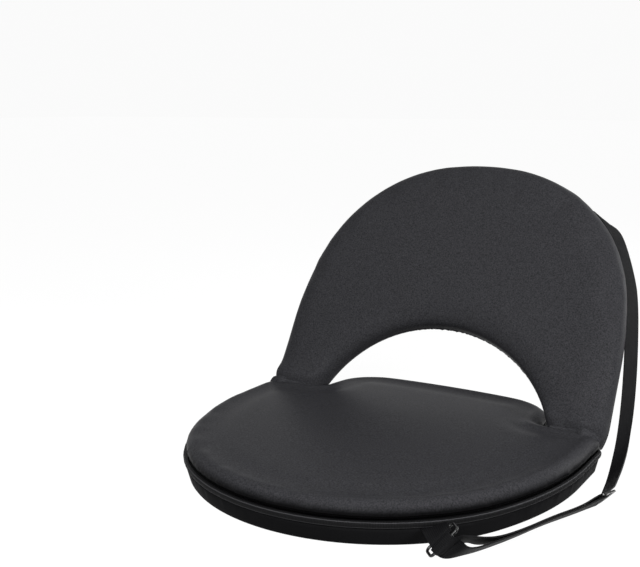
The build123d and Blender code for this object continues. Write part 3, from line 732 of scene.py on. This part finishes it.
webbing_shade = add_node(
    webbing,
    "ShaderNodeBsdfPrincipled",
    inputs={"Roughness": 0.55, "Specular IOR Level": 0.05},
    links=[(webbing_tone.outputs["Color"], "Base Color"), (webbing_relief.outputs["Normal"], "Normal")],
)
webbing.node_tree.links.new(webbing_shade.outputs[0], webbing_out.inputs["Surface"])

upper_route = [
    ((118.0, 179.0, 264.7), (0.63, -0.39, -0.67)),
    ((146.0, 190.9, 285.0), (0.66, -0.38, -0.65)),
    ((169.0, 201.9, 300.0), (0.70, -0.36, -0.62)),
    ((191.0, 205.0, 283.5), (0.55, 0.70, -0.40)),
    ((205.0, 199.0, 260.5), (0.45, 0.89, 0.0)),
    ((222.5, 182.0, 224.0), (0.45, 0.89, 0.0)),
    ((236.0, 164.0, 189.0), (0.45, 0.89, 0.0)),
    ((254.0, 105.0, 120.5), (0.45, 0.88, 0.1)),
    ((266.0, 52.0, 64.0), (0.46, 0.85, 0.2)),
    ((274.0, 0.0, 31.0), (0.52, 0.74, 0.4)),
    ((280.0, -45.0, 18.0), (0.55, 0.40, 0.65)),
    ((284.0, -84.0, 14.0), (0.62, 0.0, 0.71)),
    ((288.1, -106.2, 16.1), (0.63, -0.32, 0.71)),
    ((281.9, -121.0, 14.95), (0.63, -0.32, 0.71)),
]
upper_strap = webbing_band("strap_upper_length", upper_route, 25.0, 1.6)
dress(upper_strap, webbing, nodes=["strap_upper"])
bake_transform(upper_strap)

# Carrying strap, lower length: the same webbing, doubled. It runs from the slider round the ring's outer bar
# and back; its two layers lie on each other and part before the ring.
run_wide = (0.63, -0.32, 0.71)
flat_wide = (0.70, -0.34, 0.63)
loop_wide = (0.42, -0.70, 0.55)
ring_along = (0.51, 0.49, 0.707)
lower_route = [
    ((283.1, -118.3, 15.1), run_wide),
    ((278.4, -128.2, 14.5), run_wide),
    ((268.4, -159.1, 11.6), flat_wide),
    ((250.0, -199.4, 10.8), flat_wide),
    ((235.0, -247.4, 10.8), flat_wide),
    ((219.4, -291.7, 13.6), flat_wide),
    ((203.4, -316.4, 24.5), loop_wide),
    ((191.0, -328.7, 15.2), ring_along),
    ((185.1, -326.2, 17.4), ring_along),
    ((181.0, -324.2, 18.8), ring_along),
    ((181.4, -319.4, 15.2), ring_along),
    ((185.5, -320.8, 13.7), ring_along),
    ((191.6, -323.5, 12.2), ring_along),
    ((207.6, -315.4, 9.4), loop_wide),
    ((221.4, -292.5, 10.8), flat_wide),
    ((236.2, -247.9, 9.0), flat_wide),
    ((251.2, -199.9, 9.0), flat_wide),
    ((269.6, -159.6, 9.8), flat_wide),
    ((281.3, -129.5, 11.7), run_wide),
    ((286.0, -119.5, 12.0), run_wide),
]
lower_strap = webbing_band("strap_lower_length", lower_route, 25.0, 1.6)
dress(lower_strap, webbing, nodes=["strap_lower"])
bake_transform(lower_strap)

# Strap tab: short loop of webbing that holds the ring's inner bar.
# Both its ends are sewn into the seat's side seam.
tab_tangent = (0.718, 0.696, 0.0)
tab_route = [
    ((158.0, -294.0, 20.0), tab_tangent),
    ((166.2, -301.2, 19.0), (0.70, 0.65, 0.3)),
    ((177.0, -310.0, 14.6), ring_along),
    ((180.0, -315.5, 16.1), ring_along),
    ((176.5, -315.0, 20.2), ring_along),
    ((166.0, -303.0, 22.0), (0.70, 0.65, 0.3)),
    ((158.0, -294.0, 22.5), tab_tangent),
]
strap_tab = webbing_band("strap_tab_loop", tab_route, 27.0, 1.4)
dress(strap_tab, webbing, "seat", ["strap_tab"])

# Strap patch: piece of wider webbing on the rear cover of the back rest.
# It is sewn over the end of the strap's upper length.
patch_route = [
    ((105.0, 173.0, 253.0), (0.63, -0.39, -0.67)),
    ((123.0, 182.6, 267.6), (0.63, -0.39, -0.67)),
    ((141.0, 191.2, 282.6), (0.63, -0.39, -0.67)),
]
strap_patch = webbing_band("strap_end_patch", patch_route, 30.0, 1.6)
dress(strap_patch, webbing, "back_rest", ["strap_patch"])

# Ring and slider: bent wire and a stamped plate, both in glossy black enamel.
# The enamel is smooth and even, with faint waves that break its highlights.
enamel, enamel_out = new_material("glossy_black_enamel")
enamel_place = add_node(enamel, "ShaderNodeTexCoord")
enamel_waves = add_node(
    enamel,
    "ShaderNodeTexNoise",
    inputs={"Scale": 1 / (3 * MM), "Detail": 4.0},
    links=[(enamel_place.outputs["Object"], "Vector")],
)
enamel_gloss = add_node(enamel, "ShaderNodeMapRange", links=[(enamel_waves.outputs["Fac"], "Value")])
enamel_gloss.inputs["To Min"].default_value = 0.16
enamel_gloss.inputs["To Max"].default_value = 0.30
enamel_shade = add_node(
    enamel,
    "ShaderNodeBsdfPrincipled",
    inputs={"Base Color": linear("0c0c0d"), "Specular IOR Level": 0.4},
    links=[(enamel_gloss.outputs[0], "Roughness")],
)
enamel.node_tree.links.new(enamel_shade.outputs[0], enamel_out.inputs["Surface"])


def coat(material, nodes):
    """Gives CAD nodes their only material."""
    for node in nodes:
        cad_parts[node].data.materials.clear()
        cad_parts[node].data.materials.append(material)


coat(enamel, ["strap_ring", "strap_slider"])

# Frames: bent steel tube and welded rod inside both cushions, powder coated black.
# The coat has a fine orange-peel texture.
powder, powder_out = new_material("black_powder_coat")
powder_place = add_node(powder, "ShaderNodeTexCoord")
powder_peel = add_node(
    powder,
    "ShaderNodeTexNoise",
    inputs={"Scale": 1 / (0.9 * MM), "Detail": 2.0},
    links=[(powder_place.outputs["Object"], "Vector")],
)
powder_relief = add_node(
    powder,
    "ShaderNodeBump",
    inputs={"Strength": 0.15, "Distance": 0.0002},
    links=[(powder_peel.outputs["Fac"], "Height")],
)
powder_shade = add_node(
    powder,
    "ShaderNodeBsdfPrincipled",
    inputs={"Base Color": linear("1a1a1b"), "Roughness": 0.45},
    links=[(powder_relief.outputs["Normal"], "Normal")],
)
powder.node_tree.links.new(powder_shade.outputs[0], powder_out.inputs["Surface"])
coat(powder, ["seat_frame_hoop", "seat_tongue_rod", "back_frame_hoop", "back_arch_rod"])


# Hinges: stamped steel arms and cheeks, riveted, zinc plated with a dull spangle.
# The pawl springs are strips of blued spring steel.
def plated_metal(name, code, size, smooth, rough):
    """Bare or plated metal, whose gloss varies over patches of a size in mm."""
    metal, metal_out = new_material(name)
    metal_place = add_node(metal, "ShaderNodeTexCoord")
    patches = add_node(
        metal,
        "ShaderNodeTexNoise",
        inputs={"Scale": 1 / (size * MM), "Detail": 3.0},
        links=[(metal_place.outputs["Object"], "Vector")],
    )
    patch_gloss = add_node(metal, "ShaderNodeMapRange", links=[(patches.outputs["Fac"], "Value")])
    patch_gloss.inputs["To Min"].default_value = smooth
    patch_gloss.inputs["To Max"].default_value = rough
    metal_shade = add_node(
        metal,
        "ShaderNodeBsdfPrincipled",
        inputs={"Base Color": linear(code), "Metallic": 1.0},
        links=[(patch_gloss.outputs[0], "Roughness")],
    )
    metal.node_tree.links.new(metal_shade.outputs[0], metal_out.inputs["Surface"])
    return metal


zinc = plated_metal("dull_zinc_plate", "b4b6b8", 4.0, 0.32, 0.5)
blued_spring = plated_metal("blued_spring_steel", "5c6068", 6.0, 0.25, 0.4)
hinge_pieces = ("seat_arm", "inner_cheek", "outer_cheek", "pivot_rivet", "pawl", "pawl_pin", "spacer")
coat(zinc, ["seat_arm_rivets", "back_arm_rivets"])
for side in ("right", "left"):
    coat(zinc, [side + "_hinge_" + piece for piece in hinge_pieces])
    coat(blued_spring, [side + "_hinge_pawl_spring"])

# The strap's upper length hangs free between the back rest and the slider, which it carries.
# Its middle line follows its route.
upper_line = route_line(upper_route)
